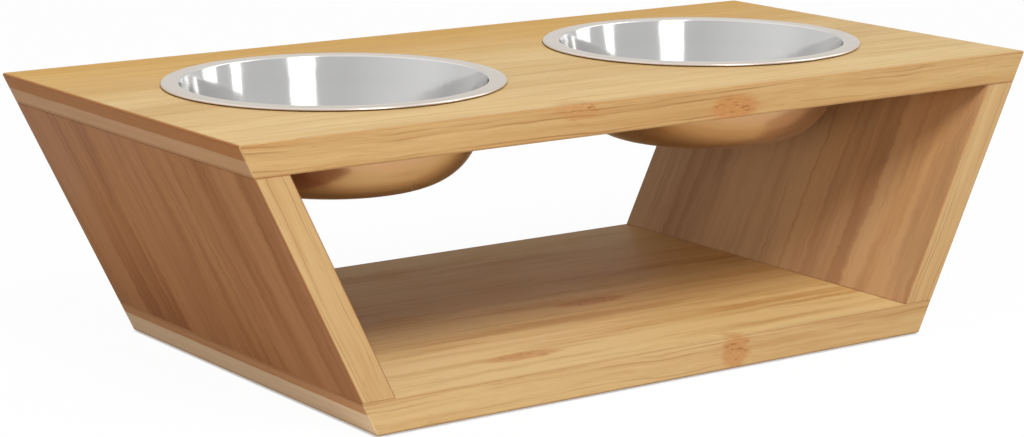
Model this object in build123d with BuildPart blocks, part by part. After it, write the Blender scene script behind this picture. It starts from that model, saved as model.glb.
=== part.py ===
from build123d import *
import os
from math import cos, radians, sin, sqrt, tan

# Raised feeder stand: a top board with two drop-in bowls, a shelf board below it
# for storage, and two side panels that lean outwards towards the top.
# Units are millimetres. X runs along the stand, Y from front to back, Z up.
# The origin is under the middle of the stand, on the surface that it rests on.

# Stand
top_length = 600.0
stand_depth = 305.0
stand_height = 181.0
lean_angle = 26.0
top_thickness = 20.0
base_thickness = 21.0
side_thickness = 21.0
edge_radius = 1.2
joint_ease = 0.4

# Bowls
bowl_end_margin = 47.0
bowl_rim_radius = 107.5
bowl_flange_width = 10.8
bowl_depth = 63.1
bowl_corner_radius = 40.5
bowl_neck_radius = 0.6
bowl_taper_angle = 11.0
bowl_sheet = 0.8
rim_bead_radius = 1.1
bowl_hole_clearance = 1.5
bowl_hole_edge_radius = 0.8

# Glued dowels between the top board and the side panels
dowel_count = 3
dowel_edge_margin = 42.5
dowel_radius = 4.0
dowel_in_top = 12.0
dowel_in_side = 18.0
dowel_end_chamfer = 1.0
dowel_flute_radius = 0.45
dowel_flute_count = 12
dowel_fit_clearance = 0.05
dowel_end_gap = 1.0

# Screws through the shelf board into the side panels
screw_count = 3
screw_edge_margin = 42.5
screw_radius = 2.0
screw_length = 40.0
screw_tip_length = 4.0
screw_tip_radius = 0.4
screw_head_radius = 4.2
screw_head_height = 2.8
screw_head_edge_radius = 1.0
screw_drive_radius = 2.2
screw_drive_width = 1.1
screw_drive_depth = 1.6
screw_seat_depth = 7.0
screw_shank_clearance = 0.2
screw_head_clearance = 0.4
screw_pilot_clearance = 0.05
screw_end_gap = 1.0

# Rubber foot pads, set into shallow pockets under the shelf board
pad_radius = 10.0
pad_thickness = 2.5
pad_pocket_depth = 1.5
pad_edge_radius = 0.4
pad_clearance = 0.2
pad_end_inset = 36.0
pad_side_inset = 25.0

# Heights and widths that follow from the sizes above
slope = tan(radians(lean_angle))
side_width = side_thickness / cos(radians(lean_angle))
base_bottom = pad_thickness - pad_pocket_depth
base_top = base_bottom + base_thickness
top_face = base_bottom + stand_height
top_underside = top_face - top_thickness
half_depth = stand_depth / 2
bowl_x = top_length / 2 - bowl_end_margin - bowl_rim_radius
bowl_wall_radius = bowl_rim_radius - bowl_flange_width
dowel_pitch = (stand_depth - 2 * dowel_edge_margin) / max(1, dowel_count - 1)
screw_pitch = (stand_depth - 2 * screw_edge_margin) / max(1, screw_count - 1)
sides = {"left": -1, "right": 1}


def outer_x(z):
    """Half length of the stand at height z, along its leaning end."""
    return top_length / 2 - (top_face - z) * slope


def end_board_outline(low_z, high_z):
    """Corners of a board whose ends follow the lean of the side panels."""
    return [
        (-outer_x(low_z), low_z),
        (outer_x(low_z), low_z),
        (outer_x(high_z), high_z),
        (-outer_x(high_z), high_z),
    ]


def joint_plane(side, z, heading):
    """Plane across a side panel's middle at height z.

    Its normal runs along the panel, up for heading 1 and down for heading -1,
    and its own X axis runs from the front to the back of the stand.
    """
    middle_x = outer_x(z) - side_width / 2
    along = (side * heading * sin(radians(lean_angle)), 0, heading * cos(radians(lean_angle)))
    return Plane(origin=(side * middle_x, 0, z), x_dir=(0, 1, 0), z_dir=along)


def row_offset(number, count, pitch):
    """Distance of one fastener from the middle of its row."""
    return (number - (count - 1) / 2) * pitch


def is_corner_edge(edge):
    """True for an edge that climbs between the faces of a board."""
    return abs((edge % 0.5).Z) > 0.1


def save(builder, name):
    """Label a finished piece and write it as a STEP file of the same name."""
    builder.part.label = name
    export_step(builder.part, f"parts/{name}.step")


os.makedirs("parts", exist_ok=True)

# A blind or inclined hole starts this far outside its face, so that its whole
# mouth is open although the drill meets the face at the lean angle.
dowel_hole_radius = dowel_radius + dowel_fit_clearance
dowel_mouth_run = dowel_hole_radius * slope
screw_pilot_radius = screw_radius + screw_pilot_clearance
screw_mouth_run = screw_pilot_radius * slope
seat_to_base_top = base_thickness / cos(radians(lean_angle)) - screw_seat_depth
screw_in_side = screw_length - seat_to_base_top

# Top board
bowl_hole_radius = bowl_wall_radius + bowl_hole_clearance
with BuildPart() as top_board:
    with BuildSketch(Plane.XZ):
        with BuildLine():
            Polyline(*end_board_outline(top_underside, top_face), close=True)
        make_face()
    extrude(amount=half_depth, both=True)
    rounded = top_board.faces().sort_by(Axis.Z)[-1].edges()
    rounded += top_board.edges().filter_by(is_corner_edge)
    fillet(rounded, radius=edge_radius)
    chamfer(top_board.faces().sort_by(Axis.Z)[0].edges(), length=joint_ease)
    with Locations(Plane.XY.offset(top_face)):
        with GridLocations(2 * bowl_x, 1, 2, 1):
            Hole(radius=bowl_hole_radius)
    hole_edges = top_board.edges().filter_by(GeomType.CIRCLE)
    hole_edges = hole_edges.filter_by(lambda edge: abs(edge.radius - bowl_hole_radius) < 0.01)
    fillet(hole_edges, radius=bowl_hole_edge_radius)
    for side in sides.values():
        with Locations(joint_plane(side, top_underside, -1).offset(dowel_mouth_run)):
            with GridLocations(dowel_pitch, 1, dowel_count, 1):
                Hole(radius=dowel_hole_radius, depth=dowel_mouth_run + dowel_in_top + dowel_end_gap)
save(top_board, "top_board")

# Shelf board
with BuildPart() as base_board:
    with BuildSketch(Plane.XZ):
        with BuildLine():
            Polyline(*end_board_outline(base_bottom, base_top), close=True)
        make_face()
    extrude(amount=half_depth, both=True)
    rounded = base_board.faces().sort_by(Axis.Z)[0].edges()
    rounded += base_board.edges().filter_by(is_corner_edge)
    fillet(rounded, radius=edge_radius)
    chamfer(base_board.faces().sort_by(Axis.Z)[-1].edges(), length=joint_ease)
    for side in sides.values():
        with Locations(joint_plane(side, base_bottom, -1)):
            with GridLocations(screw_pitch, 1, screw_count, 1):
                CounterBoreHole(
                    radius=screw_radius + screw_shank_clearance,
                    counter_bore_radius=screw_head_radius + screw_head_clearance,
                    counter_bore_depth=screw_seat_depth,
                    depth=screw_length,
                )
    pad_x = outer_x(base_bottom) - pad_end_inset
    pad_y = half_depth - pad_side_inset
    with Locations(Plane.XY.offset(base_bottom)):
        with GridLocations(2 * pad_x, 2 * pad_y, 2, 2):
            Cylinder(
                radius=pad_radius + pad_clearance,
                height=2 * pad_pocket_depth,
                mode=Mode.SUBTRACT,
            )
save(base_board, "base_board")

# Side panels
for side_name, side in sides.items():
    with BuildPart() as side_panel:
        with BuildSketch(Plane.XZ):
            with BuildLine():
                Polyline(
                    (side * outer_x(base_top), base_top),
                    (side * outer_x(top_underside), top_underside),
                    (side * (outer_x(top_underside) - side_width), top_underside),
                    (side * (outer_x(base_top) - side_width), base_top),
                    close=True,
                )
            make_face()
        extrude(amount=half_depth, both=True)
        fillet(side_panel.edges().filter_by(is_corner_edge), radius=edge_radius)
        ends = side_panel.faces().filter_by(Plane.XY)
        chamfer(ends.edges(), length=joint_ease)
        with Locations(joint_plane(side, top_underside, 1).offset(dowel_mouth_run)):
            with GridLocations(dowel_pitch, 1, dowel_count, 1):
                Hole(radius=dowel_hole_radius, depth=dowel_mouth_run + dowel_in_side + dowel_end_gap)
        with Locations(joint_plane(side, base_top, -1).offset(screw_mouth_run)):
            with GridLocations(screw_pitch, 1, screw_count, 1):
                Hole(radius=screw_pilot_radius, depth=screw_mouth_run + screw_in_side + screw_end_gap)
    save(side_panel, f"{side_name}_side_panel")


# Bowls: one sheet of steel, spun to a round cup with a flat flange and a solid rim bead
def bowl_corners(inset):
    """Corners of the bowl's half section, moved into the sheet by inset."""
    taper = tan(radians(bowl_taper_angle))
    wall_x = bowl_wall_radius - inset / cos(radians(bowl_taper_angle))
    floor_z = inset - bowl_depth
    flange_z = 2 * rim_bead_radius - bowl_sheet + inset
    bead_x = bowl_rim_radius - rim_bead_radius
    bead_reach = sqrt(max(0, rim_bead_radius**2 - (flange_z - rim_bead_radius) ** 2))
    return [
        (0, floor_z),
        (wall_x + floor_z * taper, floor_z),
        (wall_x + flange_z * taper, flange_z),
        (bead_x - bead_reach, flange_z),
    ]


for side_name, side in sides.items():
    with BuildPart() as bowl:
        half_section = Plane(origin=(side * bowl_x, 0, top_face), x_dir=(1, 0, 0), z_dir=(0, -1, 0))
        with BuildSketch(half_section):
            with BuildLine():
                outside = FilletPolyline(
                    *bowl_corners(0),
                    radius=[bowl_corner_radius, bowl_neck_radius],
                )
                inside = FilletPolyline(
                    *bowl_corners(bowl_sheet),
                    radius=[bowl_corner_radius - bowl_sheet, bowl_neck_radius + bowl_sheet],
                )
                Line(outside @ 0, inside @ 0)
                bead_bottom = (bowl_rim_radius - rim_bead_radius, 0)
                ThreePointArc(inside @ 1, bead_bottom, outside @ 1)
            make_face()
        revolve(axis=Axis((side * bowl_x, 0, 0), (0, 0, 1)))
    save(bowl, f"{side_name}_bowl")

# Dowels: fluted beech pins along each side panel's lean
for side_name, side in sides.items():
    for number in range(dowel_count):
        joint = joint_plane(side, top_underside, 1)
        foot_point = (row_offset(number, dowel_count, dowel_pitch), 0, -dowel_in_side)
        foot = Plane(joint.from_local_coords(foot_point), joint.x_dir, joint.z_dir)
        with BuildPart() as dowel:
            with BuildSketch(foot):
                Circle(dowel_radius)
            extrude(amount=dowel_in_side + dowel_in_top)
            chamfer(dowel.edges().filter_by(GeomType.CIRCLE), length=dowel_end_chamfer)
            with BuildSketch(foot):
                with PolarLocations(dowel_radius, dowel_flute_count):
                    Circle(dowel_flute_radius)
            extrude(amount=dowel_in_side + dowel_in_top, mode=Mode.SUBTRACT)
        save(dowel, f"{side_name}_dowel_{number + 1}")

# Screws: washer head with a cross recess, plain shaft at the thread's outer size, tapered tip
for side_name, side in sides.items():
    for number in range(screw_count):
        under = joint_plane(side, base_bottom, 1)
        seat_point = (row_offset(number, screw_count, screw_pitch), 0, screw_seat_depth)
        seat = Plane(under.from_local_coords(seat_point), under.x_dir, under.z_dir)
        with BuildPart() as screw:
            with BuildSketch(seat):
                Circle(screw_head_radius)
            extrude(amount=-screw_head_height)
            head_rim = screw.edges().filter_by(GeomType.CIRCLE).sort_by(Axis(seat.origin, seat.z_dir))[0]
            fillet(head_rim, radius=screw_head_edge_radius)
            with BuildSketch(seat):
                Circle(screw_radius)
            extrude(amount=screw_length - screw_tip_length)
            with BuildSketch(seat.offset(screw_length - screw_tip_length)):
                Circle(screw_radius)
            with BuildSketch(seat.offset(screw_length)):
                Circle(screw_tip_radius)
            loft()
            with BuildSketch(seat.offset(-screw_head_height)):
                Rectangle(2 * screw_drive_radius, screw_drive_width)
                Rectangle(screw_drive_width, 2 * screw_drive_radius)
            extrude(amount=screw_drive_depth, mode=Mode.SUBTRACT)
        save(screw, f"{side_name}_screw_{number + 1}")

# Foot pads
for side_name, side in sides.items():
    for row_name, row in (("front", -1), ("back", 1)):
        with BuildPart() as foot_pad:
            with BuildSketch(Plane((side * pad_x, row * pad_y, 0))):
                Circle(pad_radius)
            extrude(amount=pad_thickness)
            fillet(foot_pad.edges().sort_by(Axis.Z)[0], radius=pad_edge_radius)
        save(foot_pad, f"foot_pad_{side_name}_{row_name}")
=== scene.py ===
"""Looks of a raised feeder stand, built around its solid parts.

Metres, X along the stand, Y from front to back, Z up, with the origin on the floor under its middle.
"""

from functools import partial, partialmethod
from math import cos, degrees, pi, radians, sin, tan

import bpy
from bpy.props import FloatProperty, FloatVectorProperty, IntProperty, PointerProperty
from bpy.types import Operator, Panel, PropertyGroup
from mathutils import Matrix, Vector


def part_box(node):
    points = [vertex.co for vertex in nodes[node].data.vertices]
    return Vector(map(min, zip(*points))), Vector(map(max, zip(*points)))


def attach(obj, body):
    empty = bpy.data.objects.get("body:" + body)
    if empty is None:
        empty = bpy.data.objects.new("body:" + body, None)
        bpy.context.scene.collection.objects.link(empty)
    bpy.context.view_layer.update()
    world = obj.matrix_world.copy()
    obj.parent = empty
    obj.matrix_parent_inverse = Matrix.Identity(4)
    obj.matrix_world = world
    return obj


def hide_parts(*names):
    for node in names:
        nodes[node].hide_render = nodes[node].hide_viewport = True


bl_info = {
    "name": "Raised Feeder Stand",
    "version": (1, 0, 0),
    "blender": (4, 5, 0),
    "location": "3D View > Sidebar > Feeder",
    "description": "Gives the solid parts of a raised feeder stand their finished looks",
    "category": "Add Mesh",
}

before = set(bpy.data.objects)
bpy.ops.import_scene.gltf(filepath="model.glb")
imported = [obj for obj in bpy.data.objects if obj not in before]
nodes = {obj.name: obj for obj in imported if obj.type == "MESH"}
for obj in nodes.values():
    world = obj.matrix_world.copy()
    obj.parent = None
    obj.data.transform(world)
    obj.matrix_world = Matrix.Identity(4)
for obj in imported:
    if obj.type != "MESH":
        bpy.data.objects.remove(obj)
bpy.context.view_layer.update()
mm = 0.001


# ---------------------------------------------------------------- settings


def setting(kind, form, name, description, default):
    return kind(name=name, description=description, default=default, **form)


colour_setting = partial(setting, FloatVectorProperty, dict(size=3, min=0, max=1, subtype="COLOR"))
length_setting = partial(setting, FloatProperty, dict(min=0, precision=5, unit="LENGTH"))
share_setting = partial(setting, FloatProperty, dict(min=0, max=1, subtype="FACTOR"))
angle_setting = partial(setting, FloatProperty, dict(subtype="ANGLE"))


class BambooSettings(PropertyGroup):
    """Colours and figure of the bamboo boards."""

    pale: colour_setting("Pale", "Palest bamboo fibres", (0.76, 0.54, 0.25))
    shelf_pale: colour_setting("Shelf pale", "Palest fibres of the shelf board", (0.76, 0.54, 0.245))
    honey: colour_setting("Honey", "Darker bamboo fibres", (0.55, 0.305, 0.10))
    edge_pale: colour_setting("Edge pale", "Palest fibres of the long edges", (0.67, 0.452, 0.205))
    edge_honey: colour_setting("Edge honey", "Darker fibres of the long edges", (0.495, 0.265, 0.095))
    amber: colour_setting("Amber", "Warm patches in the bamboo", (0.60, 0.27, 0.068))
    # Gold makes the top board's warm spots, and also paints it warmer and less blue towards its back,
    # painted light in place of the sheen falling off there.
    gold_and_painted_light: colour_setting("Gold", "Warm tone of the top board towards its back", (0.65, 0.325, 0.02))
    # The left panel is darker and redder than the right: partly a panel of its own tone, partly painted
    # shade.
    left_pale_and_painted_shade: colour_setting("Left pale", "Palest strips of the left panel", (0.495, 0.226, 0.093))
    left_honey_and_painted_shade: colour_setting("Left honey", "Darkest strips of the left panel", (0.345, 0.134, 0.049))
    right_pale: colour_setting("Right pale", "Palest strips of the right panel", (0.53, 0.31, 0.145))
    right_honey: colour_setting("Right honey", "Darkest strips of the right panel", (0.375, 0.191, 0.085))
    # The glue colour also paints shade: the dark lines along the boards' rounded edges and along the
    # panels' ends at the joints.
    glue: colour_setting("Glue line", "Dark line between two glued strips", (0.30, 0.112, 0.034))
    knuckle: colour_setting("Knuckle", "Growth ring marks across a strip", (0.53, 0.205, 0.062))
    end_dark: colour_setting("End, dark ply", "Dark ply at the top board's ends", (0.50, 0.216, 0.076))
    end_pale: colour_setting("End, pale ply", "Pale ply at the top board's ends", (0.651, 0.370, 0.189))
    # The shelf's end plies are paler than the top board's: painted light where the floor shades them.
    foot_dark_painted_light: colour_setting("Foot, dark ply", "Dark ply at the shelf board's ends", (0.66, 0.34, 0.155))
    foot_pale_painted_light: colour_setting("Foot, pale ply", "Pale ply at the shelf board's ends", (0.97, 0.70, 0.43))
    strip_width: length_setting("Strip width", "Width of one glued strip", 0.0218)
    roughness: share_setting("Roughness", "Roughness of the satin lacquer", 0.45)


class SteelSettings(PropertyGroup):
    """Shape and finish of the drop-in bowls."""

    tint: colour_setting("Tint", "Colour of the polished steel", (0.75, 0.745, 0.735))
    # The rim and outside tints are warm: a painted reflection of the bamboo on top of the steel's own
    # colour.
    rim_tint: colour_setting("Rim tint", "Colour of the flat rim", (0.76, 0.665, 0.545))
    satin_tint: colour_setting("Satin tint", "Colour of the brushed outside", (0.79, 0.695, 0.64))
    polish: share_setting("Polish", "Roughness of the polished inside", 0.10)
    satin: share_setting("Satin", "Roughness of the brushed outside", 0.24)
    sheet: length_setting("Sheet", "Thickness of the steel sheet", 0.0008)
    flange: length_setting("Flange", "Width of the flat rim", 0.0108)
    bead: length_setting("Bead", "Radius of the rolled edge", 0.0011)
    corner: length_setting("Corner", "Radius between wall and floor", 0.0405)
    neck: length_setting("Neck", "Radius between wall and rim", 0.0006)
    taper: angle_setting("Taper", "Lean of the bowl's wall", radians(11))
    steps: IntProperty(name="Steps", description="Faces around each bowl", default=192, min=24)


class ScrewSettings(PropertyGroup):
    """Shape of the screws under the shelf board, and the lean and thickness of the panels they hold."""

    lean: angle_setting("Lean", "Lean of the side panels", radians(26))
    length: length_setting("Length", "From under the head to the tip", 0.040)
    radius: length_setting("Radius", "Outer radius of the thread", 0.002)
    core: length_setting("Core", "Radius of the core under the thread", 0.00145)
    pitch: length_setting("Pitch", "Rise of the thread in one turn", 0.0018)
    tip: length_setting("Tip", "Length of the tapered tip", 0.004)
    head_radius: length_setting("Head radius", "Radius of the head", 0.0042)
    head_height: length_setting("Head height", "Height of the head", 0.0028)
    seat: length_setting("Seat", "Depth of the seat along the lean", 0.007)
    panel: length_setting("Panel", "Thickness of a side panel", 0.021)
    tint: colour_setting("Tint", "Colour of the zinc plating", (0.55, 0.53, 0.47))


class FootPadSettings(PropertyGroup):
    """Shape and finish of the rubber foot pads."""

    edge: length_setting("Edge", "Radius of the pad's lower edge", 0.0004)
    groove: length_setting("Groove", "Depth of the ring grooves", 0.0003)
    tint: colour_setting("Tint", "Colour of the rubber", (0.03, 0.029, 0.028))


class StudioSettings(PropertyGroup):
    """Floor, lamps and camera."""

    lens: FloatProperty(name="Lens", description="Focal length in millimetres", default=99.44)
    distance: length_setting("Gloss lamps", "From the stand to the lamps that show in the steel", 2.2)
    power: FloatProperty(name="Power", description="Power of the main lamp", default=71, unit="POWER")
    fill: share_setting("Fill", "Strength of the light from all around", 0.34)
    front_gloss: share_setting("Front gloss", "Strength of the room's front in reflections", 0.64)
    back_gloss: share_setting("Back gloss", "Strength of the room's back in reflections", 0.75)
    ceiling_gloss: share_setting("Ceiling gloss", "Extra strength of the ceiling in reflections", 0.28)
    floor_shade: share_setting("Floor shade", "How pale the floor is as it lights the stand", 0.52)
    floor_share: share_setting("Floor share", "How much of the floor shows as plain white", 0.97)


# ------------------------------------------------------------ shader graphs


class Graph:
    """Adds nodes to one node tree, left to right, and joins them."""

    def __init__(self, tree):
        self.tree = tree
        self.count = 0

    def node(self, kind, **values):
        """Adds a shader node, with its kind given without the leading ShaderNode."""
        made = self.tree.nodes.new(f"ShaderNode{kind}")
        for name, value in values.items():
            setattr(made, name, value)
        made.location = (190 * (self.count // 3), -260 * (self.count % 3))
        self.count += 1
        return made

    def feed(self, socket, value):
        if isinstance(value, bpy.types.NodeSocket):
            self.tree.links.new(value, socket)
        elif socket.type == "RGBA" and len(value) == 3:
            socket.default_value = (*value, 1)
        else:
            socket.default_value = value

    def fill(self, made, *values):
        """Feeds a node's inputs in order and gives its first output."""
        for socket, value in zip(made.inputs, values):
            self.feed(socket, value)
        return made.outputs[0]

    def math(self, operation, *values, clamp=False):
        return self.fill(self.node("Math", operation=operation, use_clamp=clamp), *values)

    def plus(self, first, *others, clamp=False):
        for value in others[:-1]:
            first = self.math("ADD", first, value)
        return self.math("ADD", first, others[-1], clamp=clamp)

    def times(self, first, *others):
        for value in others:
            first = self.math("MULTIPLY", first, value)
        return first

    minus = partialmethod(math, "SUBTRACT")
    divided = partialmethod(math, "DIVIDE")
    larger = partialmethod(math, "MAXIMUM")
    smaller = partialmethod(math, "MINIMUM")
    unsigned = partialmethod(math, "ABSOLUTE")

    def swing(self, value, amount):
        """Turns a value from 0 to 1 into a swing around zero."""
        return self.times(self.minus(value, 0.5), amount)

    def vector(self, operation, *values):
        made = self.node("VectorMath", operation=operation)
        self.fill(made, *values)
        return made.outputs["Value" if operation == "LENGTH" else "Vector"]

    moved = partialmethod(vector, "ADD")
    moved_back = partialmethod(vector, "SUBTRACT")
    stretched = partialmethod(vector, "MULTIPLY")
    shrunk = partialmethod(vector, "DIVIDE")
    length = partialmethod(vector, "LENGTH")

    def split(self, vector):
        made = self.node("SeparateXYZ")
        self.feed(made.inputs[0], vector)
        return made.outputs

    def join(self, x, y, z):
        return self.fill(self.node("CombineXYZ"), x, y, z)

    def noise(self, place, scale=1, detail=2, roughness=0.5, shift=None, output="Fac"):
        """Noise, with a scale of its own along each axis where three numbers are given."""
        if isinstance(scale, tuple):
            place = self.stretched(place, scale)
            scale = 1
        if shift is not None:
            place = self.moved(place, shift)
        made = self.node("TexNoise")
        self.feed(made.inputs["Vector"], place)
        for name, value in (("Scale", scale), ("Detail", detail), ("Roughness", roughness)):
            made.inputs[name].default_value = value
        return made.outputs[output]

    def random(self, value):
        made = self.node("TexWhiteNoise", noise_dimensions="1D")
        self.feed(made.inputs["W"], value)
        return made.outputs["Value"]

    def fade(self, value, start, end, low=0, high=1):
        """Goes smoothly from low to high as the value goes from start to end."""
        made = self.node("MapRange", interpolation_type="SMOOTHSTEP")
        return self.fill(made, value, start, end, low, high)

    def mix(self, factor, first, second):
        made = self.node("Mix", data_type="RGBA")
        for number, value in ((0, factor), (6, first), (7, second)):
            self.feed(made.inputs[number], value)
        return made.outputs[2]

    def show(self, kind, surface):
        """Ends the tree of a material, a lamp or the world."""
        self.feed(self.node(f"Output{kind}").inputs["Surface"], surface)

    def use(self, tree, **values):
        made = self.node("Group", node_tree=tree)
        for name, value in values.items():
            self.feed(made.inputs[name.replace("_", " ")], value)
        return made.outputs

    def give(self, **results):
        """Ends a node group with its named outputs."""
        kinds = {"VALUE": "Float", "VECTOR": "Vector", "RGBA": "Color"}
        for name, value in results.items():
            kind = f"NodeSocket{kinds[value.type]}"
            self.tree.interface.new_socket(name, in_out="OUTPUT", socket_type=kind)
        output = self.tree.nodes.new("NodeGroupOutput")
        for name, value in results.items():
            self.feed(output.inputs[name], value)
        return self.tree


def new_group(name, numbers, vectors=("Vector",), colours=()):
    """The graph of a new shader node group, and what its named inputs give."""
    tree = bpy.data.node_groups.new(name, "ShaderNodeTree")
    for kind, socket_names in (("Vector", vectors), ("Color", colours), ("Float", numbers)):
        for socket_name in socket_names:
            tree.interface.new_socket(socket_name, in_out="INPUT", socket_type=f"NodeSocket{kind}")
    return Graph(tree), tree.nodes.new("NodeGroupInput").outputs


def wandering_grain_group():
    """Moves a board's coordinates by slow waves along the grain and by small jagged steps."""
    g, given = new_group("Wandering Grain", ("Drift", "Seed"), ("Vector", "Jag"))
    place = given["Vector"]
    shift = g.join(given["Seed"], 0, 0)
    slow = g.noise(place, (6.5, 9, 9), 1, shift=shift, output="Color")
    middle = g.noise(place, (22, 16, 16), 1, shift=shift, output="Color")
    quick = g.noise(place, (150, 42, 42), 2, 0.6, shift=shift, output="Color")
    middle_share = 0.55
    rest = 0.5 * (1 + middle_share)
    both = g.moved(slow, g.stretched(middle, (0, middle_share, middle_share)))
    drift = g.join(0, given["Drift"], given["Drift"])
    slow_push = g.stretched(g.moved_back(both, (0, rest, rest)), drift)
    quick_push = g.stretched(g.moved_back(quick, (0.5, 0.5, 0.5)), given["Jag"])
    return g.give(Vector=g.moved(place, g.moved(slow_push, quick_push)))


def grain_streaks_group():
    """Long streaks of three sizes along a board's first axis."""
    g, given = new_group("Grain Streaks", ("Spread", "Seed"))
    shift = g.join(given["Seed"], given["Seed"], 0)
    place = g.moved(given["Vector"], g.stretched(shift, (0.37, 0.011, 0)))
    spread = g.join(1, given["Spread"], given["Spread"])
    broad = g.noise(g.shrunk(g.stretched(place, (3.4, 62, 62)), spread), 1, 4, 0.58)
    fine = g.noise(place, (9, 320, 320), 4, 0.6)
    threads = g.noise(place, (32, 1500, 1500), 1)
    return g.give(Broad=broad, Fine=fine, Fibres=g.fade(threads, 0.60, 0.76))


def glued_strips_group():
    """Tone and seams of strips glued side by side across a board."""
    g, given = new_group("Glued Strips", ("Width", "Line", "Seed"))
    x, y = g.split(given["Vector"])[:2]
    place = g.plus(g.divided(y, given["Width"]), given["Seed"])
    number = g.math("FLOOR", place)
    tone = g.random(g.plus(number, given["Seed"]))
    warmth = g.random(g.plus(number, 41.7))
    from_seam = g.minus(0.5, g.unsigned(g.minus(g.minus(place, number), 0.5)))
    line = g.fade(g.times(from_seam, given["Width"]), given["Line"], g.times(given["Line"], 0.4))
    nearest = g.math("ROUND", place)
    strength = g.fade(g.random(g.plus(nearest, 7.3)), 0.2, 0.9, 0.1, 1)
    broken = g.noise(g.join(g.times(x, 16), nearest, 0), 1, 3, 0.6)
    seam = g.times(line, strength, g.fade(broken, 0.32, 0.54, 0.25, 1))
    return g.give(Tone=tone, Seam=seam, Warmth=warmth)


def ply_lines_group():
    """Dark wavy lines that run along the board's edge, one between each two plies."""
    heights = ("First", "Second", "Third")
    g, given = new_group("Ply Lines", (*heights, "Seed"))
    x, _, z = g.split(given["Vector"])
    total = 0
    for number, name in enumerate(heights):
        wave = g.noise(g.join(g.times(x, 7), given["Seed"], 3.1 * number))
        away = g.unsigned(g.minus(z, g.plus(given[name], g.swing(wave, 4 * mm))))
        width = g.noise(g.join(g.times(x, 11), 5.7 * number, given["Seed"]))
        line = g.times(g.fade(away, 0.75 * mm, 0.1 * mm), g.fade(width, 0.38, 0.62))
        total = g.larger(total, line)
    return g.give(Lines=total)


def knuckle_group():
    """Mark that a bamboo growth ring leaves across a strip, with dark and pale flecks in it."""
    g, given = new_group("Knuckle", (), ("Vector", "Centre", "Size"))
    place = given["Vector"]
    rough = g.noise(place, (110, 300, 300), 3, 0.6, output="Color")
    push = g.stretched(g.moved_back(rough, (0.5, 0.5, 0.5)), (20 * mm, 7 * mm, 7 * mm))
    pushed = g.moved(g.moved_back(place, given["Centre"]), push)
    reach = g.length(g.shrunk(pushed, given["Size"]))
    pale = g.noise(place, (240, 900, 900), 1)
    flecks = g.times(g.fade(pale, 0.56, 0.66), g.fade(reach, 0.9, 0.4))
    dark = g.noise(place, (150, 640, 640))
    dots = g.times(g.fade(dark, 0.46, 0.34), g.fade(reach, 1, 0.35))
    return g.give(Mask=g.fade(reach, 1.2, 0.6), Flecks=flecks, Dots=dots)


def handling_marks_group():
    """Soft smudges and fine rubbing that change how rough a surface is."""
    g, given = new_group("Handling Marks", ("Roughness", "Smudge", "Grit"))
    soft = g.noise(given["Vector"], 26, 3, 0.55)
    grit = g.noise(given["Vector"], 900)
    smudge = g.fade(soft, 0.45, 0.72)
    rise = g.times(smudge, given["Smudge"])
    rub = g.swing(grit, given["Grit"])
    return g.give(Roughness=g.plus(given["Roughness"], rise, rub, clamp=True), Mask=smudge)


def bamboo_group(wander, streaks, strips, plies):
    """Colour, roughness and relief of one laminated bamboo board along its first axis."""
    g, given = new_group(
        "Bamboo Board",
        ("Strip Width", "Strip Contrast", "Tone", "Seam Depth", "Streak Contrast", "Fine Contrast")
        + ("Streak Spread", "Line Depth", "Drift", "Warmth", "Warm Spots", "Roughness", "Seed"),
        ("Vector", "Jag"),
        ("Pale", "Honey", "Amber", "Glue"),
    )
    seed = given["Seed"]
    place = g.use(wander, Vector=given["Vector"], Drift=given["Drift"], Jag=given["Jag"], Seed=seed)[0]
    grain = g.use(streaks, Vector=place, Spread=given["Streak Spread"], Seed=seed)
    strip = g.use(strips, Vector=place, Width=given["Strip Width"], Line=2 * mm, Seed=seed)
    lines = g.use(plies, Vector=place, First=7.6 * mm, Second=4.4 * mm, Third=-6.2 * mm, Seed=seed)[0]
    broad = g.swing(grain["Broad"], given["Streak Contrast"])
    fine = g.swing(grain["Fine"], given["Fine Contrast"])
    tone = g.swing(strip["Tone"], given["Strip Contrast"])
    shade = g.plus(g.times(broad, 2.2), g.times(fine, 1.5), tone, given["Tone"], clamp=True)
    body = g.mix(shade, given["Pale"], given["Honey"])
    patch = g.noise(place, (2.2, 16, 16))
    spots = g.times(g.fade(patch, 0.46, 0.75), g.fade(strip["Warmth"], 0.3, 1, 0.3, 1))
    warm = g.plus(g.times(spots, given["Warm Spots"]), given["Warmth"], clamp=True)
    body = g.mix(warm, body, given["Amber"])
    body = g.mix(g.times(grain["Fibres"], 0.22), body, given["Glue"])
    dark = g.larger(g.times(lines, given["Line Depth"]), g.times(strip["Seam"], given["Seam Depth"]))
    colour = g.mix(dark, body, given["Glue"])
    rough = g.plus(given["Roughness"], g.times(fine, 0.35), g.times(dark, 0.12), clamp=True)
    relief = g.minus(grain["Fine"], g.times(grain["Fibres"], 0.45))
    return g.give(Color=colour, Roughness=rough, Height=g.minus(relief, g.times(dark, 0.12)))


def turning_marks_group():
    """Fine rings around a vertical axis, as a turning tool leaves them."""
    g, given = new_group("Turning Marks", ("Spacing",))
    x, y, z = g.split(given["Vector"])
    path = g.minus(g.length(g.join(x, y, 0)), g.times(z, 0.8))
    count = g.divided(path, given["Spacing"])
    rings = g.noise(g.join(count, 0, 0), 1, 2, 0.6)
    bands = g.noise(g.join(g.times(path, 90), 4, 0))
    return g.give(Rings=rings, Bands=bands)


def shared_groups():
    """The node groups that the materials use, each made once."""
    if "Bamboo Board" not in bpy.data.node_groups:
        grain = wandering_grain_group(), grain_streaks_group()
        bamboo_group(*grain, glued_strips_group(), ply_lines_group())
        knuckle_group()
        handling_marks_group()
        turning_marks_group()
    return bpy.data.node_groups


# --------------------------------------------------------------- materials


def empty_graph(owner):
    """The cleared node tree of a material, a lamp or the world."""
    owner.use_nodes = True
    owner.node_tree.nodes.clear()
    return Graph(owner.node_tree)


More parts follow.
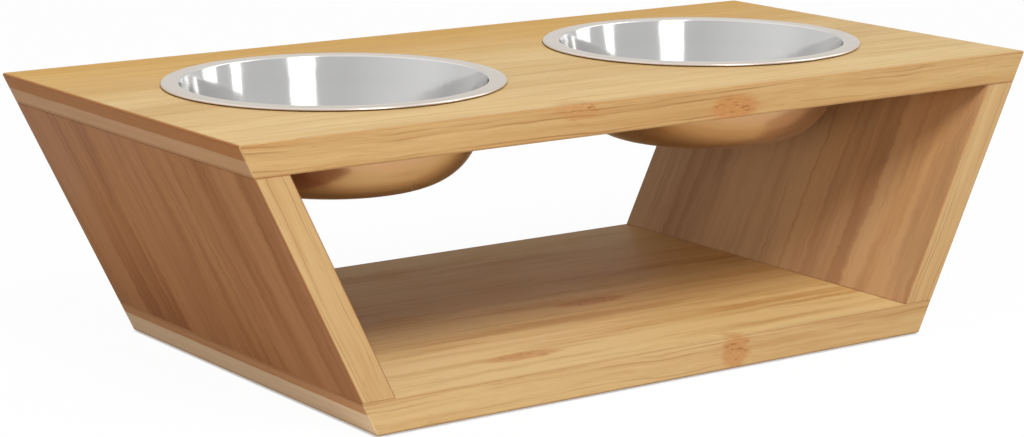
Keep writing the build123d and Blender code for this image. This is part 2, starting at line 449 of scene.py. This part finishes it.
def new_material(name, centre=(0, 0, 0), turn=(0, 0, 0)):
    """A material, its graph, its Principled shader, and coordinates centred there and turned."""
    material = bpy.data.materials.new(name)
    g = empty_graph(material)
    shader = g.node("BsdfPrincipled")
    g.show("Material", shader.outputs[0])
    place = g.node("TexCoord").outputs["Object"]
    for change, value in (("Location", [-number for number in centre]), ("Rotation", turn)):
        mapping = g.node("Mapping", vector_type="POINT")
        mapping.inputs[change].default_value = value
        place = g.fill(mapping, place)
    return material, g, shader.inputs, place


def finish(g, shader, colour, height, distance, strength):
    """Joins the colour and the relief to the shader."""
    g.feed(shader["Base Color"], colour)
    bump = g.node("Bump")
    for name, value in (("Distance", distance), ("Strength", strength), ("Height", height)):
        g.feed(bump.inputs[name], value)
    g.feed(shader["Normal"], bump.outputs[0])


def add_marks(g, shader, place, roughness, smudge, grit):
    """Roughness with handling marks; gives the mask of the smudges."""
    group = shared_groups()["Handling Marks"]
    marks = g.use(group, Vector=place, Roughness=roughness, Smudge=smudge, Grit=grit)
    g.feed(shader["Roughness"], marks["Roughness"])
    return marks["Mask"]


def bamboo_board(node, name, settings, look, turn=(0, 0, 0), knuckles=(), end=None):
    """Gives a board laminated bamboo, with its grain along the turned first axis."""
    groups = shared_groups()
    material, g, shader, place = new_material(name, middle_of(node), turn)
    object_place = g.node("TexCoord").outputs["Object"]
    depth, z = g.split(object_place)[1:]
    warmth = look["warmth"]
    # Where a look gives it, the board turns warmer towards its back: painted light, for the top board's
    # fading sheen and for warm bounced light in the shelf's shade.
    if "painted_warmth_by_depth" in look:
        near, far, extra = look["painted_warmth_by_depth"]
        warmth = g.fade(depth, near, far, warmth, warmth + extra)
    rim = g.minus(look["half_depth"], g.unsigned(depth))
    on_edge = g.fade(rim, 0.15 * mm, 0.05 * mm)
    # The painted shade share sets how dark the painted shade lines at the joints and edges get.
    painted_shade_share, lacquer_ior = 0.35, 1.47

    def shift(flat, edge):
        """One value on the board's flat faces, and another on its front and back edges."""
        return g.fade(on_edge, 0, 1, flat, edge)

    across, up = look["jag"]
    wood = g.use(
        groups["Bamboo Board"],
        Vector=place,
        Pale=g.mix(on_edge, look["pale"], settings.edge_pale),
        Honey=g.mix(on_edge, look["honey"], settings.edge_honey),
        Tone=shift(look["tone"], look["edge_tone"]),
        Amber=look["amber"],
        Glue=settings.glue,
        Strip_Width=settings.strip_width,
        Strip_Contrast=shift(look["strip_contrast"], 0),
        Seam_Depth=shift(look["seam_depth"], 0),
        Streak_Contrast=shift(look["streak_contrast"], 0.8),
        Fine_Contrast=look["fine_contrast"],
        Streak_Spread=shift(look["streak_spread"], 0.8),
        Line_Depth=shift(0, look["line_depth"]),
        Drift=look["drift"],
        Jag=g.join(0, shift(across, 0), shift(0, up)),
        Warmth=warmth,
        Warm_Spots=shift(look["warm_spots"], 0.08),
        Roughness=settings.roughness,
        Seed=look["seed"],
    )
    colour, height = wood["Color"], wood["Height"]
    rise = g.minus(look["half_thick"], g.unsigned(g.split(place)[2]))
    arris = g.plus(rise, rim)
    # Painted shade: a thin dark line on the panels' faces next to their joints with the top board and the
    # shelf board.
    if "joints" in look:
        low, high = look["joints"]
        reach = g.smaller(g.minus(z, low), g.minus(high, z))
        colour = g.mix(g.fade(reach, 0.8 * mm, 0.2 * mm, 0, painted_shade_share), colour, settings.glue)
    if end is not None:
        colour, inside = add_end_plies(g, object_place, rim, colour, settings, end)
        arris = g.smaller(arris, g.plus(rise, inside))
    # Painted shade: a thin dark line along the rounded edges and the end edges, which dims the highlight
    # they catch.
    colour = g.mix(g.fade(arris, 1.35 * mm, 1 * mm, 0, painted_shade_share), colour, settings.glue)
    for middle, size, strength in knuckles:
        mark = g.use(groups["Knuckle"], Vector=object_place, Centre=middle, Size=size)
        colour = g.mix(g.times(mark["Mask"], strength), colour, settings.knuckle)
        colour = g.mix(g.times(mark["Dots"], 0.7), colour, settings.glue)
        colour = g.mix(g.times(mark["Flecks"], 0.12), colour, settings.pale)
        height = g.minus(height, g.times(mark["Dots"], 0.5))
    add_marks(g, shader, object_place, wood["Roughness"], smudge=0.06, grit=0.04)
    shader["IOR"].default_value = lacquer_ior
    shader["Specular IOR Level"].default_value = look["gloss"]
    finish(g, shader, colour, height, 0.12 * mm, 0.45)
    give_material(nodes[node], material)


def add_end_plies(g, place, rim, colour, settings, end):
    """Two plies with their grain across the stand, at a board's ends, and the way in from the ends."""
    top_half, top_height, slope, split, pale, dark = end
    x, y, z = g.split(place)
    reach = g.plus(top_half, g.times(g.minus(z, top_height), slope))
    inside = g.minus(reach, g.unsigned(x))
    on_end = g.times(g.fade(inside, 0.5 * mm, 0.25 * mm), g.fade(rim, 0.5 * mm, 1.2 * mm, 0.35, 1))
    wave = g.noise(g.join(g.times(y, 24), 0, 0), 1, 3)
    seam = g.plus(split, g.swing(wave, 1.6 * mm))
    plies = g.mix(g.fade(g.minus(z, seam), -0.2 * mm, 0.2 * mm), pale, dark)
    streaks = g.noise(g.join(g.times(y, 7), g.times(z, 420), 2), 1, 4, 0.6)
    blotch = g.noise(g.join(g.times(y, 30), g.times(z, 60), 7), 1, 3, 0.6)
    tone = g.plus(g.times(streaks, 0.7), g.times(blotch, 0.3))
    grain = g.fade(tone, 0.25, 0.75, 0.20, 0)
    return g.mix(on_end, colour, g.mix(grain, plies, settings.glue)), inside


def steel_material(name, tint, centre, roughness, painted_shade_band=None):
    """Stainless steel with faint rings around its axis, and painted shade under its rolled edge where a
    band for it is given.
    """
    material, g, shader, place = new_material(name, centre)
    rings = g.use(shared_groups()["Turning Marks"], Vector=place, Spacing=0.25 * mm)
    smudges = add_marks(g, shader, place, roughness, smudge=0.04, grit=0.02)
    dull = [0.96 * value for value in tint]
    worn = g.plus(g.times(g.fade(rings["Bands"], 0.35, 0.65), 0.6), g.times(smudges, 0.3), clamp=True)
    colour = g.mix(worn, tint, dull)
    # Painted shade: the lower part of the rolled edge turns dark where it meets the board.
    if painted_shade_band is not None:
        painted_shade_radius, painted_shade_height = painted_shade_band
        dark = (0.08, 0.042, 0.022)
        x, y, z = g.split(place)
        outside = g.math("GREATER_THAN", g.length(g.join(x, y, 0)), painted_shade_radius)
        under = g.fade(z, painted_shade_height + 1.2 * mm, painted_shade_height + 0.7 * mm)
        colour = g.mix(g.times(under, outside, 0.85), colour, dark)
    shader["Metallic"].default_value = 1
    dents = g.noise(place, (42, 42, 26), 2, 0.6)
    finish(g, shader, colour, g.plus(dents, g.times(rings["Rings"], 0.003)), 0.16 * mm, 1)
    return material


def beech_material(name):
    """Plain turned beech with short dark flecks, for the dowels."""
    pale, dark, fleck_colour = (0.66, 0.44, 0.25), (0.55, 0.33, 0.17), (0.30, 0.15, 0.07)
    material, g, shader, place = new_material(name, turn=(0, pi / 2, 0))
    streaks = g.use(shared_groups()["Grain Streaks"], Vector=place, Spread=1, Seed=3)
    body = g.mix(g.fade(streaks["Broad"], 0.3, 0.7), pale, dark)
    flecks = g.noise(place, (260, 1600, 1600), 1)
    colour = g.mix(g.fade(flecks, 0.62, 0.72, 0, 0.6), body, fleck_colour)
    add_marks(g, shader, place, roughness=0.62, smudge=0.05, grit=0.08)
    finish(g, shader, colour, streaks["Fine"], 0.1 * mm, 0.4)
    return material


def zinc_material(name, settings):
    """Zinc plated steel with a faint yellow bloom, for the screws."""
    material, g, shader, place = new_material(name)
    bloom = g.noise(place, 420, 3, 0.6)
    red, green, blue = settings.tint
    yellow = (1.02 * red, 0.9 * green, 0.62 * blue)
    colour = g.mix(g.fade(bloom, 0.4, 0.7, 0, 0.6), settings.tint, yellow)
    shader["Metallic"].default_value = 1
    add_marks(g, shader, place, roughness=0.3, smudge=0.12, grit=0.1)
    finish(g, shader, colour, bloom, 0.02 * mm, 0.3)
    return material


def rubber_material(name, settings):
    """Matt black rubber with fine moulded grit and a little dust."""
    dust_colour = (0.16, 0.15, 0.14)
    material, g, shader, place = new_material(name)
    dust = g.noise(place, 700, 3, 0.7)
    colour = g.mix(g.fade(dust, 0.5, 0.8, 0, 0.35), settings.tint, dust_colour)
    add_marks(g, shader, place, roughness=0.68, smudge=0.12, grit=0.16)
    finish(g, shader, colour, dust, 0.05 * mm, 0.4)
    return material


def give_material(piece, *materials):
    """Fills the slots of a piece, and adds a slot where it has none."""
    while len(piece.material_slots) < len(materials):
        piece.data.materials.append(None)
    for number, slot in enumerate(piece.material_slots):
        slot.link = "OBJECT"
        slot.material = materials[min(number, len(materials) - 1)]


# --------------------------------------------------------------- modelling


def middle_of(node):
    low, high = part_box(node)
    return (low + high) / 2


def underside_of(node):
    middle = middle_of(node)
    middle.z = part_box(node)[0].z
    return middle


def set_mode(mode):
    bpy.ops.object.mode_set(mode=mode)


def select_points(action="SELECT"):
    bpy.ops.mesh.select_all(action=action)


def select_only(*pieces):
    """Leaves edit mode and selects these pieces alone, with the first one active."""
    if bpy.context.object is not None and bpy.context.object.mode != "OBJECT":
        set_mode("OBJECT")
    bpy.ops.object.select_all(action="DESELECT")
    for piece in reversed(pieces):
        piece.select_set(True)
        bpy.context.view_layer.objects.active = piece


def select_where(piece, kind, test):
    """Selects the faces or the points of a piece that pass the test, in edit mode."""
    set_mode("EDIT")
    select_points("DESELECT")
    set_mode("OBJECT")
    for part in getattr(piece.data, kind):
        part.select = test(part)
    set_mode("EDIT")


def named(piece, name):
    piece.name = name
    piece.data.name = name
    return piece


def move_place_into_mesh():
    """Leaves edit mode, and puts the active piece's object at the origin."""
    set_mode("OBJECT")
    bpy.ops.object.transform_apply(location=True, rotation=True, scale=True)


def draw_profile(name, points, closed=False):
    """Starts a new piece as a chain of edges through (x, z) points in the plane y = 0."""
    select_only()
    first_x, first_z = points[0]
    bpy.ops.mesh.primitive_plane_add(size=mm, location=(first_x, 0, first_z), enter_editmode=True)
    bpy.ops.mesh.merge(type="CENTER")
    for (x0, z0), (x1, z1) in zip(points, points[1:]):
        bpy.ops.mesh.extrude_vertices_move(TRANSFORM_OT_translate={"value": (x1 - x0, 0, z1 - z0)})
    select_points()
    if closed:
        bpy.ops.mesh.edge_face_add()
        bpy.ops.mesh.delete(type="ONLY_FACE")
        select_points()
    return named(bpy.context.object, name)


def merge_and_turn_out():
    """Joins doubled points and turns all faces outwards, in edit mode."""
    select_points()
    bpy.ops.mesh.remove_doubles(threshold=0.001 * mm)
    bpy.ops.mesh.normals_make_consistent(inside=False)


def turned_piece(name, points, steps):
    """A piece turned on the Z axis from its half profile."""
    piece = draw_profile(name, points)
    bpy.ops.mesh.spin(steps=steps, angle=2 * pi, center=(0, 0, 0), axis=(0, 0, 1))
    merge_and_turn_out()
    move_place_into_mesh()
    return piece


def placed_copy(original, name, location, rotation=(0, 0, 0)):
    """A copy with its own mesh, which holds its place."""
    select_only(original)
    bpy.ops.object.duplicate(linked=False)
    piece = named(bpy.context.object, name)
    piece.location = location
    piece.rotation_euler = rotation
    move_place_into_mesh()
    return piece


def apply_modifier(piece, kind, **values):
    """Adds one modifier and applies it."""
    select_only(piece)
    modifier = piece.modifiers.new(kind.title(), kind)
    for name, value in values.items():
        setattr(modifier, name, value)
    bpy.ops.object.modifier_apply(modifier=modifier.name)


def smooth(piece, angle):
    """Smooth shading, with edges sharper than the angle in degrees kept."""
    select_only(piece)
    bpy.ops.object.shade_smooth_by_angle(angle=radians(angle))


def arc(centre_x, centre_z, radius, start, end, count):
    """Points along an arc in the profile plane, its angles in degrees."""
    angles = [radians(start + (end - start) * step / count) for step in range(count + 1)]
    return [(centre_x + radius * cos(angle), centre_z + radius * sin(angle)) for angle in angles]


def between(start, end, *shares):
    """Points at these shares of the way from start to end."""
    return [tuple(a + (b - a) * share for a, b in zip(start, end)) for share in shares]


def hand_over(piece, body, node, slot_name, *materials):
    """Lets a finished piece stand for its solid part."""
    give_material(piece, *materials)
    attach(piece, body)
    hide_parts(node)


# --------------------------------------------------------------- operators


class FEEDER_OT_boards(Operator):
    """Give the top board, the shelf board and the side panels their bamboo"""

    bl_idname = "feeder.boards"
    bl_label = "Bamboo Boards"

    def execute(self, context):
        settings = context.scene.feeder_bamboo
        screw = context.scene.feeder_screw
        top_low, top_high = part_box("top_board")
        shelf_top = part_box("base_board")[1].z
        front = top_low.y
        # Values named edge, and line_depth, are for the front and back edges of a board.
        level = dict(
            honey=settings.honey, amber=settings.amber, warmth=0, seam_depth=0.13,
            half_depth=-front, streak_spread=1.2, drift=8 * mm, jag=(3 * mm, 0.6 * mm),
        )
        # The top board turns gold towards its back: painted light where its sheen falls off.
        top = dict(
            level, pale=settings.pale, amber=settings.gold_and_painted_light, gloss=0.06, tone=0.24, edge_tone=0.52,
            strip_contrast=0.16, streak_contrast=0.75, streak_spread=1.5, fine_contrast=0.6,
            line_depth=0.6, warmth=0.03, warm_spots=0.14, painted_warmth_by_depth=(-0.02, 0.16, 0.62), seed=2,
        )
        # The shelf turns warmer towards its back: painted warm bounced light in the shade under the top
        # board.
        shelf = dict(
            level, pale=settings.shelf_pale, gloss=0.05, tone=0.14, edge_tone=0.25,
            strip_contrast=0.38, streak_contrast=2.1, fine_contrast=0.75,
            line_depth=0.35, warm_spots=0.45, painted_warmth_by_depth=(-0.12, -0.02, 0.38), seed=9,
        )
        panel = dict(
            level, half_thick=screw.panel / 2, gloss=0.12, tone=0.42, edge_tone=0.44,
            strip_contrast=0.75, seam_depth=0.27, streak_contrast=1.6, fine_contrast=0.5,
            line_depth=0.4, warm_spots=0.3, jag=(6 * mm, 0.8 * mm), joints=(shelf_top, top_low.z),
        )
        # Each knuckle mark has a middle, a reach along the three axes and a strength.
        top_marks = (
            ((-0.0677, front + 1 * mm, 0.1790), (0.017, 0.020, 0.0070), 0.3),
            ((0.0511, front, 0.1685), (0.021, 0.020, 0.0085), 0.62),
        )
        shelf_marks = (
            ((0.0544, front, 0.0120), (0.0115, 0.020, 0.0125), 0.55),
            ((-0.0838, -0.1163, shelf_top), (0.030, 0.0080, 0.010), 0.55),
            ((0.0349, -0.0270, shelf_top), (0.030, 0.0085, 0.010), 0.6),
        )
        # The shelf board's end plies get paler colours: painted light near the floor.
        level_boards = (
            ("top_board", "top", top, top_marks, 0.52, settings.end_pale, settings.end_dark),
            ("base_board", "shelf", shelf, shelf_marks, 0.65, settings.foot_pale_painted_light, settings.foot_dark_painted_light),
        )
        for node, name, look, marks, ply_share, pale, dark in level_boards:
            low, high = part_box(node)
            look["half_thick"] = (high.z - low.z) / 2
            seam = low.z + ply_share * (high.z - low.z)
            end = (top_high.x, top_high.z, tan(screw.lean), seam, pale, dark)
            bamboo_board(node, f"bamboo_{name}", settings, look, knuckles=marks, end=end)
        # The left panel's darker colours are partly its own tone, partly painted shade.
        panels = (
            ("left", -1, settings.left_pale_and_painted_shade, settings.left_honey_and_painted_shade, 14),
            ("right", 1, settings.right_pale, settings.right_honey, 23),
        )
        for name, side, pale, honey, seed in panels:
            look = dict(panel, pale=pale, honey=honey, seed=seed)
            turn = (0, pi / 2 - side * screw.lean, 0)
            bamboo_board(f"{name}_side_panel", f"bamboo_{name}_panel", settings, look, turn)
        return {"FINISHED"}


def bowl_profile(settings, rim_radius, depth):
    """Middle of the sheet from the axis to the end of the rolled edge, from its underside up."""
    half, lean = settings.sheet / 2, settings.taper
    flange_z = depth - half
    wall_x = rim_radius - settings.flange - half / cos(lean)

    def wall_at(z):
        return wall_x + (z - depth + 2 * settings.bead) * tan(lean)

    corner = settings.corner - half
    corner_x = wall_at(half + corner) - corner / cos(lean)
    neck = settings.neck + half
    neck_x = wall_at(flange_z - neck) + neck / cos(lean)
    bead_x = rim_radius - settings.bead
    points = between((0, half), (corner_x, half), 0, 0.2, 0.6)
    points += arc(corner_x, half + corner, corner, -90, -degrees(lean), 20)
    upper = arc(neck_x, flange_z - neck, neck, 180 - degrees(lean), 90, 8)
    points += between(points[-1], upper[0], 0.33, 0.66) + upper
    points += between((neck_x, flange_z), (bead_x, flange_z), 0.3, 0.6)
    return points + arc(bead_x, depth - settings.bead, settings.bead - half, 90, -165, 14)


class FEEDER_OT_bowls(Operator):
    """Turn the two steel bowls, with a flat rim and a rolled edge"""

    bl_idname = "feeder.bowls"
    bl_label = "Steel Bowls"

    def execute(self, context):
        settings = context.scene.feeder_steel
        low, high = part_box("left_bowl")
        rim_radius = (high.x - low.x) / 2
        depth = high.z - low.z
        bowl = turned_piece("bowl", bowl_profile(settings, rim_radius, depth), settings.steps)
        for _ in ("polish", "satin", "rim"):
            bowl.data.materials.append(None)
        satin_slot, rim_slot = 1, 2
        level, mostly_level = 0.95, 0.6
        apply_modifier(
            bowl, "SOLIDIFY", thickness=settings.sheet, offset=0, use_even_offset=True,
            material_offset=satin_slot,
        )
        for face in bowl.data.polygons:
            reach = Vector(face.center[:2]).length
            if reach > rim_radius - settings.bead and face.normal.z < level:
                face.material_index = satin_slot
            elif reach > rim_radius - settings.flange and face.normal.z > mostly_level:
                face.material_index = rim_slot
        smooth(bowl, angle=40)
        # The band where the outside's material paints shade under the rolled edge.
        painted_shade_band = (rim_radius - 2 * settings.bead, depth - 2 * settings.bead)
        for node in ("left_bowl", "right_bowl"):
            place = underside_of(node)
            polish = steel_material(f"polish_{node}", settings.tint, place, settings.polish)
            satin = steel_material(f"satin_{node}", settings.satin_tint, place, settings.satin, painted_shade_band)
            rim = steel_material(f"rim_{node}", settings.rim_tint, place, settings.polish)
            piece = placed_copy(bowl, f"{node}_turned", place)
            hand_over(piece, node, node, "bowl_steel", polish, satin, rim)
        bpy.data.objects.remove(bowl)
        return {"FINISHED"}


class FEEDER_OT_dowels(Operator):
    """Give the hidden dowels their beech"""

    bl_idname = "feeder.dowels"
    bl_label = "Dowels"

    def execute(self, context):
        beech = beech_material("beech_dowel")
        for name in sorted(nodes):
            if "_dowel_" in name:
                give_material(nodes[name], beech)
        return {"FINISHED"}


def screw_body(settings):
    """Head and core, turned, with the head below the seat at z = 0."""
    r, h = settings.head_radius, settings.head_height
    core, length, tip = settings.core, settings.length, settings.tip
    edge, neck, neck_end = 0.455 * h, 1.7 * mm, 9 * mm
    points = [(0, -h), (0.3 * r, -h), (0.62 * r, -0.97 * h)]
    points += arc(r - edge, -0.53 * h, edge, -75, 0, 6)
    points += [(r, -0.1 * h), (r - 0.1 * mm, 0), (neck, 0), (neck, neck_end), (core, neck_end + 1 * mm)]
    points += [(core, length - tip), (0.55 * core, length - 0.35 * tip), (0, length)]
    return turned_piece("screw", points, steps=40)


def cut_recess(screw, settings):
    """Cuts a tapered cross into the head."""
    length, width, depth = 4.4 * mm, 1.1 * mm, 3.2 * mm
    middle = (0, 0, -settings.head_height)
    select_only()
    bpy.ops.mesh.primitive_cube_add(size=1, location=middle, scale=(length, width, depth))
    move_place_into_mesh()
    cutter = bpy.context.object
    select_where(cutter, "polygons", lambda face: face.normal.z > 0.9)
    bpy.ops.transform.resize(value=(0.45, 0.7, 1))
    select_points()
    bpy.ops.mesh.duplicate()
    bpy.ops.transform.rotate(value=pi / 2, orient_axis="Z", center_override=middle)
    set_mode("OBJECT")
    apply_modifier(screw, "BOOLEAN", object=cutter, operation="DIFFERENCE", solver="EXACT", use_self=True)
    bpy.data.objects.remove(cutter)


def screw_thread(settings):
    """A raised thread wound around the core, run out at both ends."""
    root, crest, pitch = settings.core - 0.12 * mm, settings.radius, settings.pitch
    start, foot, land = 10.5 * mm, 0.32 * pitch, 0.05 * pitch
    turns = int((settings.length - 0.8 * mm - start) / pitch)
    ridge = [(root, start - foot), (crest, start - land), (crest, start + land), (root, start + foot)]
    thread = draw_profile("thread", ridge, closed=True)
    move_place_into_mesh()
    apply_modifier(
        thread, "SCREW", axis="Z", angle=2 * pi, screw_offset=pitch, iterations=turns,
        steps=24, render_steps=24, use_merge_vertices=False,
    )
    set_mode("EDIT")
    merge_and_turn_out()
    select_points("DESELECT")
    bpy.ops.mesh.select_non_manifold(extend=False)
    bpy.ops.mesh.fill_holes(sides=0)
    merge_and_turn_out()
    slices = 10
    slice_height = settings.tip / slices
    for step in range(slices):
        low = settings.length - settings.tip + slice_height * step
        shrink_between(thread, low, low + slice_height, 1 - 0.78 * (step + 0.5) / slices)
    shrink_between(thread, 0, start + 0.35 * pitch, 0.8)
    set_mode("OBJECT")
    return thread


def shrink_between(piece, low, high, share):
    """Draws the points between two heights in towards the axis."""
    select_where(piece, "vertices", lambda point: low <= point.co.z < high)
    bpy.ops.transform.resize(value=(share, share, 1), center_override=(0, 0, 0))


class FEEDER_OT_screws(Operator):
    """Model one screw with a cross recess and a thread, and set six of them"""

    bl_idname = "feeder.screws"
    bl_label = "Screws"

    def execute(self, context):
        settings = context.scene.feeder_screw
        lean = settings.lean
        screw = screw_body(settings)
        cut_recess(screw, settings)
        select_only(screw, screw_thread(settings))
        bpy.ops.object.join()
        smooth(screw, angle=35)
        zinc = zinc_material("zinc_screw", settings)
        base_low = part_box("base_board")[0]
        top_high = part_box("top_board")[1]
        outer_x = top_high.x - (top_high.z - base_low.z) * tan(lean)
        seat_x = outer_x - settings.panel / cos(lean) / 2 + settings.seat * sin(lean)
        seat_z = base_low.z + settings.seat * cos(lean)
        for name, side in (("left", -1), ("right", 1)):
            for number in (1, 2, 3):
                node = f"{name}_screw_{number}"
                place = (side * seat_x, middle_of(node).y, seat_z)
                piece = placed_copy(screw, f"{node}_threaded", place, (0, side * lean, 0))
                hand_over(piece, "stand", node, "screw_steel", zinc)
        bpy.data.objects.remove(screw)
        return {"FINISHED"}


class FEEDER_OT_foot_pads(Operator):
    """Turn one rubber foot pad with ring grooves, and set four of them"""

    bl_idname = "feeder.foot_pads"
    bl_label = "Foot Pads"

    def execute(self, context):
        settings = context.scene.feeder_pad
        rubber = rubber_material("rubber_pad", settings)
        low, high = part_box("foot_pad_left_front")
        radius, thickness = (high.x - low.x) / 2, high.z - low.z
        edge, groove, bevel = settings.edge, settings.groove, 0.15 * mm
        points = [(0, 0)]
        for ring in (0.3, 0.52, 0.74):
            for away, height in ((-0.45, 0), (-0.2, groove), (0.2, groove), (0.45, 0)):
                points.append((ring * radius + away * mm, height))
        points += arc(radius - edge, edge, edge, -90, 0, 5)
        points += [(radius, thickness - bevel), (radius - bevel, thickness)]
        points += [(0.5 * radius, thickness), (0, thickness)]
        pad = turned_piece("pad", points, steps=64)
        smooth(pad, angle=35)
        for corner in ("left_front", "left_back", "right_front", "right_back"):
            node = f"foot_pad_{corner}"
            piece = placed_copy(pad, f"{node}_ribbed", underside_of(node))
            hand_over(piece, "stand", node, "pad_rubber", rubber)
        bpy.data.objects.remove(pad)
        return {"FINISHED"}


def seen_directly(g):
    """The light path, and 1 where the camera looks straight or through clear things."""
    path = g.node("LightPath").outputs
    return path, g.larger(path["Is Camera Ray"], path["Is Transmission Ray"])


def add_lamp(name, azimuth, elevation, distance, size, power, only_gloss=False):
    """A rectangular lamp that faces the stand, which either lights it or shows in its steel."""
    across, up = radians(azimuth), radians(elevation)
    target = Vector((0, 0, 0.1))
    away = distance * Vector((sin(across) * cos(up), -cos(across) * cos(up), sin(up)))
    bpy.ops.object.light_add(type="AREA", location=target + away)
    lamp = bpy.context.object
    lamp.name = name
    lamp.data.shape = "RECTANGLE"
    lamp.data.size, lamp.data.size_y = size
    lamp.data.energy = power
    lamp.rotation_euler = (lamp.location - target).to_track_quat("Z", "Y").to_euler()
    lamp.visible_camera = False
    lamp.visible_diffuse = not only_gloss
    lamp.visible_glossy = only_gloss
    return lamp


def show_once(lamp):
    """Keeps a lamp out of reflections of reflections."""
    past_second = 2.5
    g = empty_graph(lamp.data)
    depth = g.node("LightPath").outputs["Ray Depth"]
    glow = g.node("Emission")
    g.feed(glow.inputs["Strength"], g.math("LESS_THAN", depth, past_second))
    g.show("Light", glow.outputs[0])


def add_camera(scene, lens):
    """A long lens that looks down at the stand from its front left."""
    place, down, across = (-1.0477, -1.4900, 0.4693), radians(12.142), radians(-34.832)
    bpy.ops.object.camera_add(location=place, rotation=(pi / 2 - down, 0, across))
    camera = bpy.context.object
    camera.name = "camera"
    camera.data.sensor_width = 36
    camera.data.lens = lens
    camera.data.clip_end = 60
    scene.camera = camera


def add_floor(settings):
    """A pale floor that shows nearly white, keeps the shadow, is clear from below, and near the stand
    shows tan to reflections as a painted reflection.
    """
    bpy.ops.mesh.primitive_circle_add(vertices=96, radius=14, fill_type="NGON", location=(0, 0, 0))
    floor = bpy.context.object
    floor.name = "floor"
    material = bpy.data.materials.new("pale_floor")
    g = empty_graph(material)
    path, seen = seen_directly(g)
    place = g.node("TexCoord").outputs["Object"]
    x, y = g.split(place)[:2]
    # Near the stand the floor shows tan to reflections instead of grey: a painted reflection that warms
    # the bowls' undersides.
    white, grey, honey = (0.95, 0.95, 0.95), (0.55, 0.55, 0.55), (0.74, 0.47, 0.225)
    oval, honey_reach, grey_start = (1.25, 1, 1), 0.36, 0.44
    beside = g.fade(g.length(g.shrunk(place, oval)), honey_reach, grey_start)
    in_mirrors = g.mix(beside, honey, grey)
    as_light = g.mix(path["Is Glossy Ray"], [settings.floor_shade] * 3, in_mirrors)
    matt = g.fill(g.node("BsdfDiffuse"), g.mix(seen, as_light, white))
    plain_white = g.node("Emission").outputs[0]
    low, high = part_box("base_board")
    half_x = high.x - (high.z - low.z) * tan(bpy.context.scene.feeder_screw.lean)
    outside = g.larger(g.minus(g.unsigned(x), half_x), g.minus(g.unsigned(y), high.y))
    share_beneath, share_in_mirrors = 0.4, 0.03
    share = g.times(seen, g.fade(outside, -0.6 * mm, 0.9 * mm, share_beneath, settings.floor_share))
    share = g.larger(share, g.times(path["Is Glossy Ray"], share_in_mirrors))
    surface = g.fill(g.node("MixShader"), share, matt, plain_white)
    touching = 2.5 * mm
    near = g.math("LESS_THAN", path["Ray Length"], touching)
    behind = g.node("NewGeometry").outputs["Backfacing"]
    clear = g.node("BsdfTransparent").outputs[0]
    surface = g.fill(g.node("MixShader"), g.larger(behind, near), surface, clear)
    g.show("Material", surface)
    floor.data.materials.append(material)


def add_world(settings):
    """White all around for the camera and for reflections, and softer as a light."""
    world = bpy.data.worlds.new("studio")
    bpy.context.scene.world = world
    g = empty_graph(world)
    path, seen = seen_directly(g)
    x, y, z = g.split(g.node("TexCoord").outputs["Generated"])
    room = g.fade(y, -0.5, 0.5, settings.front_gloss, settings.back_gloss)
    ceiling = g.fade(z, 0.3, 0.6, 0, settings.ceiling_gloss)
    left_wall = g.fade(x, -0.6, -1, 0, 0.1)
    mirrored = g.times(g.plus(room, ceiling, left_wall), path["Is Glossy Ray"])
    fill = g.fade(path["Is Glossy Ray"], 0, 1, settings.fill, 0)
    white, cool_white = (1, 1, 1), (0.95, 1, 1.12)
    colour = g.mix(path["Is Diffuse Ray"], white, cool_white)
    strength = g.larger(seen, g.plus(mirrored, fill))
    background = g.fill(g.node("Background"), colour, strength)
    g.show("World", background)


class FEEDER_OT_stage(Operator):
    """Add the floor, the lamps and the camera"""

    bl_idname = "feeder.stage"
    bl_label = "Stage"

    def execute(self, context):
        settings = context.scene.feeder_studio
        select_only()
        add_floor(settings)
        add_world(settings)
        far, tall = settings.distance, 2.4
        add_lamp("main_lamp", -15.6, 49, 3, (1.15, 1.15), settings.power)
        add_lamp("low_lamp", -54, 4, 6, (3.8, 2.2), 130)
        front = add_lamp("tall_lamp", -9, 28, far, (0.76, tall), 12, only_gloss=True)
        add_lamp("strip_lamp", 50, 28, far, (0.34, tall), 5, only_gloss=True)
        add_lamp("side_lamp", 80, 28, far, (0.7, tall), 6, only_gloss=True)
        show_once(front)
        add_camera(context.scene, settings.lens)
        context.scene.view_settings.view_transform = "Standard"
        return {"FINISHED"}


class FEEDER_PT_panel(Panel):
    """Lists the steps that finish the stand"""

    bl_idname = "FEEDER_PT_panel"
    bl_label = "Raised Feeder Stand"
    bl_space_type = "VIEW_3D"
    bl_region_type = "UI"
    bl_category = "Feeder"

    def draw(self, context):
        for operator in operator_classes:
            self.layout.operator(operator.bl_idname)
        for name in settings_groups:
            group = getattr(context.scene, name)
            box = self.layout.box()
            for listed in group.bl_rna.properties:
                if listed.identifier not in ("rna_type", "name"):
                    box.prop(group, listed.identifier)


operator_classes = (
    FEEDER_OT_boards,
    FEEDER_OT_bowls,
    FEEDER_OT_dowels,
    FEEDER_OT_screws,
    FEEDER_OT_foot_pads,
    FEEDER_OT_stage,
)
settings_groups = {
    "feeder_bamboo": BambooSettings,
    "feeder_steel": SteelSettings,
    "feeder_screw": ScrewSettings,
    "feeder_pad": FootPadSettings,
    "feeder_studio": StudioSettings,
}


def register():
    for name, group in settings_groups.items():
        bpy.utils.register_class(group)
        setattr(bpy.types.Scene, name, PointerProperty(type=group))
    for made in (*operator_classes, FEEDER_PT_panel):
        bpy.utils.register_class(made)


def unregister():
    for made in (FEEDER_PT_panel, *reversed(operator_classes)):
        bpy.utils.unregister_class(made)
    for name, group in settings_groups.items():
        delattr(bpy.types.Scene, name)
        bpy.utils.unregister_class(group)


def main():
    register()
    bpy.ops.feeder.boards()
    bpy.ops.feeder.bowls()
    bpy.ops.feeder.dowels()
    bpy.ops.feeder.screws()
    bpy.ops.feeder.foot_pads()
    bpy.ops.feeder.stage()


if __name__ == "__main__":
    main()
